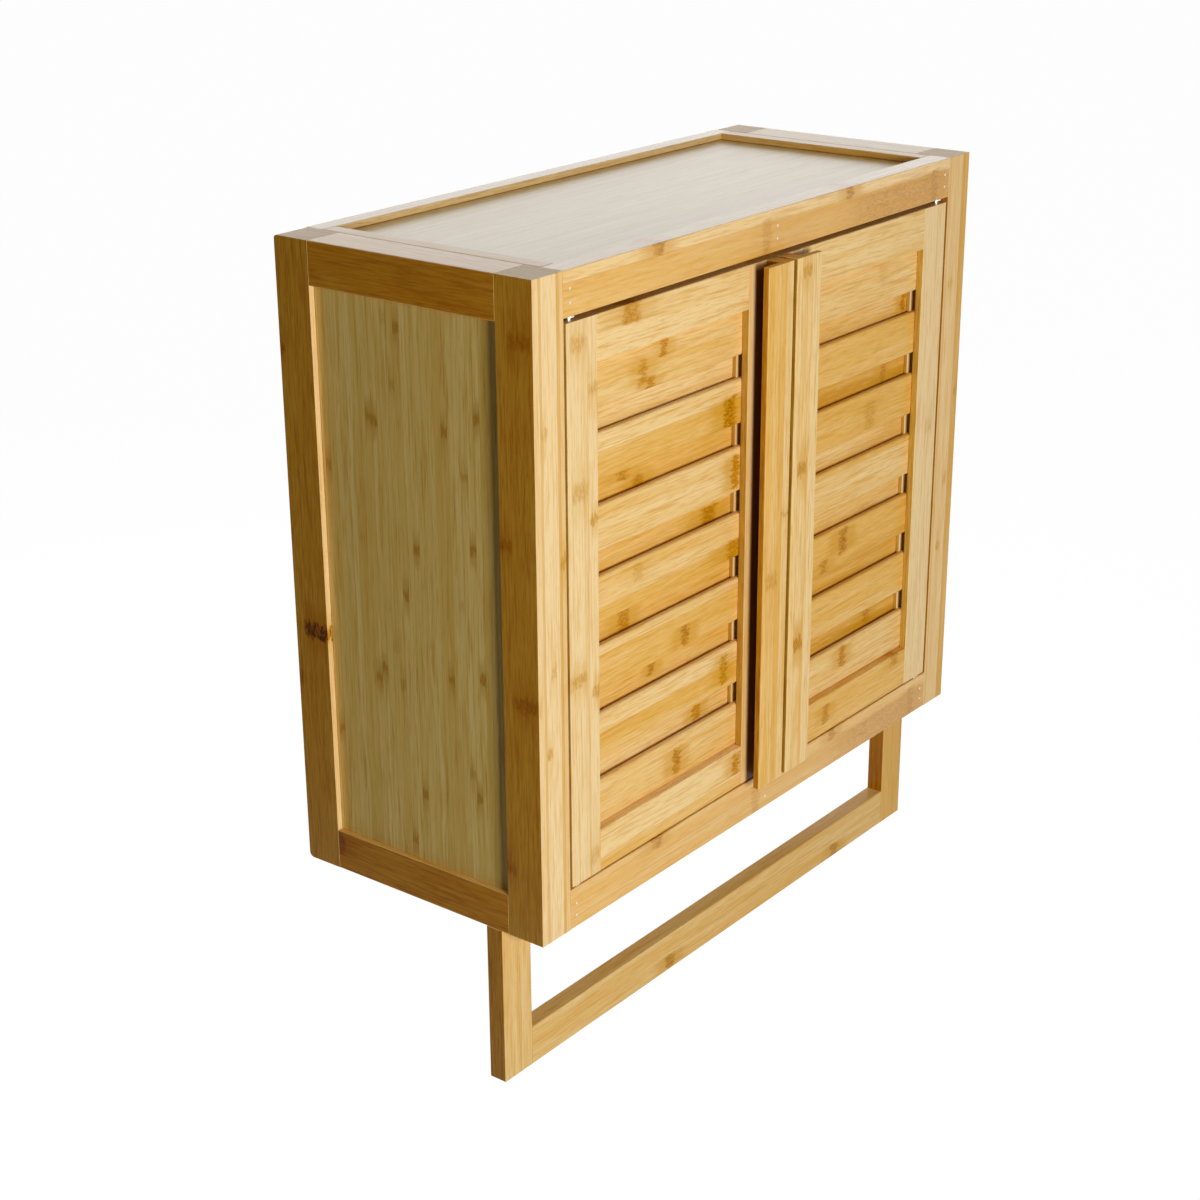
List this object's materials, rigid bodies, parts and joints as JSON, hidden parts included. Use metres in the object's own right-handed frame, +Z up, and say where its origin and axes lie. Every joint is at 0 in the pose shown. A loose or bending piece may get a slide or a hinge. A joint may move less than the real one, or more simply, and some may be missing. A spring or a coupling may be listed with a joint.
{
  "type": "bathroom wall cabinet",
  "caption": "Wall-hung bamboo bathroom cabinet with framed sides, louvred double doors on pivot pins, full-height pull bars, an inner shelf and a towel frame below.",
  "frame": {"origin": "on the wall plane, halfway between the two wall screws in the top back rail", "axes": "+X to the right seen from the front, +Y into the wall, +Z up; the doors face -Y"},
  "size_m": [0.53, 0.234, 0.575],
  "materials": {
    "bamboo": "satin lacquer",
    "bamboo_panel": "satin lacquer",
    "bamboo_slat": "satin lacquer",
    "steel": "bright zinc",
    "magnet": "nickel plate"
  },
  "bodies": {
    "cabinet": {"back_panel": "bamboo_panel", "bottom_back_rail": "bamboo", "bottom_front_rail": "bamboo", "bottom_left_strip": "bamboo", "bottom_middle_strip": "bamboo", "bottom_panel": "bamboo_panel", "bottom_right_strip": "bamboo", "catch_block": "bamboo", "catch_magnets": "magnet", "left_front_post": "bamboo", "left_rear_post": "bamboo", "left_side_bottom_rail": "bamboo", "left_side_panel": "bamboo_panel", "left_side_top_rail": "bamboo", "left_towel_leg": "bamboo", "pivot_pins": "steel", "rail_nails": "steel", "right_front_post": "bamboo", "right_rear_post": "bamboo", "right_side_bottom_rail": "bamboo", "right_side_panel": "bamboo_panel", "right_side_top_rail": "bamboo", "right_towel_leg": "bamboo", "shelf": "bamboo", "shelf_pegs": "bamboo", "top_back_rail": "bamboo", "top_front_rail": "bamboo", "top_left_strip": "bamboo", "top_middle_strip": "bamboo", "top_panel": "bamboo_panel", "top_right_strip": "bamboo", "towel_bar": "bamboo"},
    "left_door": {"left_door_bottom_rail": "bamboo", "left_door_front_slat_1": "bamboo_slat", "left_door_front_slat_2": "bamboo_slat", "left_door_front_slat_3": "bamboo_slat", "left_door_front_slat_4": "bamboo_slat", "left_door_front_slat_5": "bamboo_slat", "left_door_front_slat_6": "bamboo_slat", "left_door_front_slat_7": "bamboo_slat", "left_door_hinge_stile": "bamboo", "left_door_meeting_stile": "bamboo", "left_door_pull_bar": "bamboo", "left_door_rear_slats": "bamboo_slat", "left_door_strike_plate": "steel", "left_door_top_rail": "bamboo"},
    "right_door": {"right_door_bottom_rail": "bamboo", "right_door_front_slat_1": "bamboo_slat", "right_door_front_slat_2": "bamboo_slat", "right_door_front_slat_3": "bamboo_slat", "right_door_front_slat_4": "bamboo_slat", "right_door_front_slat_5": "bamboo_slat", "right_door_front_slat_6": "bamboo_slat", "right_door_front_slat_7": "bamboo_slat", "right_door_hinge_stile": "bamboo", "right_door_meeting_stile": "bamboo", "right_door_pull_bar": "bamboo", "right_door_rear_slats": "bamboo_slat", "right_door_strike_plate": "steel", "right_door_top_rail": "bamboo"}
  },
  "joints": [
    {"name": "left_door_hinge", "type": "hinge", "parent": "cabinet", "child": "left_door", "pos_m": [-0.2245, -0.213, -0.2105], "axis": [0, 0, -1], "range_deg": [0, 120]},
    {"name": "right_door_hinge", "type": "hinge", "parent": "cabinet", "child": "right_door", "pos_m": [0.2245, -0.213, -0.2105], "axis": [0, 0, 1], "range_deg": [0, 120]}
  ]
}
